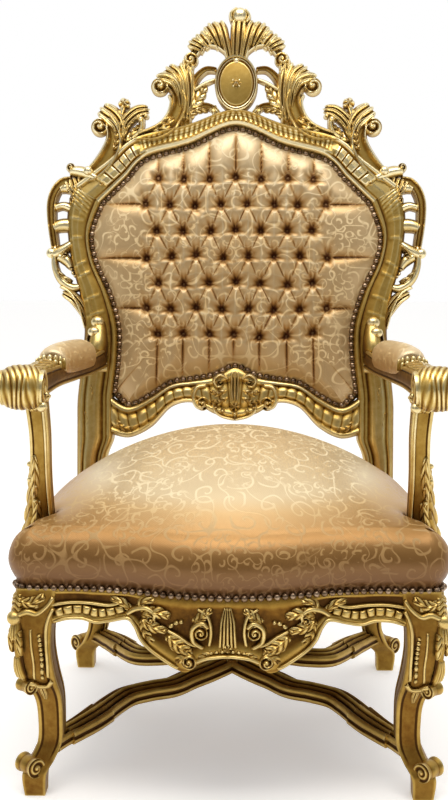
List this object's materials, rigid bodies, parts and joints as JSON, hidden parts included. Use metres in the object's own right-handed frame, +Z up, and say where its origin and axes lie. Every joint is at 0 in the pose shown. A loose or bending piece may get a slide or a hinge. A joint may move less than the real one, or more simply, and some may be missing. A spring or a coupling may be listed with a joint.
{
  "type": "throne chair",
  "caption": "Carved and gilded open-arm throne chair with a tall buttoned back in a pierced crested frame, a domed seat, cabriole legs and a serpentine cross stretcher.",
  "frame": {"origin": "middle of the bounding box's bottom, on the floor between the feet", "axes": "+X to the right as seen from the front, the front faces -Y, +Z up"},
  "size_m": [0.808, 0.7966, 1.439],
  "materials": {
    "gilded_wood": "burnished gold leaf over carved wood, darker patina in the recesses",
    "damask": "champagne satin damask with scrolling pattern",
    "nail_brass": "dark antique brass nail heads"
  },
  "bodies": {
    "root": {"front_rail": "gilded_wood", "rear_rail": "gilded_wood", "lower_back_rail": "gilded_wood", "crest_rail": "gilded_wood", "seat_cushion": "damask", "back_pad": "damask", "back_cover": "damask", "seat_nail_row": "nail_brass", "back_nail_row": "nail_brass", "front_leg_left": "gilded_wood", "front_leg_right": "gilded_wood", "rear_post_left": "gilded_wood", "rear_post_right": "gilded_wood", "side_rail_left": "gilded_wood", "side_rail_right": "gilded_wood", "arm_support_left": "gilded_wood", "arm_support_right": "gilded_wood", "arm_left": "gilded_wood", "arm_right": "gilded_wood", "arm_pad_left": "damask", "arm_pad_right": "damask", "front_stretcher_left": "gilded_wood", "front_stretcher_right": "gilded_wood", "rear_stretcher_left": "gilded_wood", "rear_stretcher_right": "gilded_wood"}
  },
  "joints": []
}
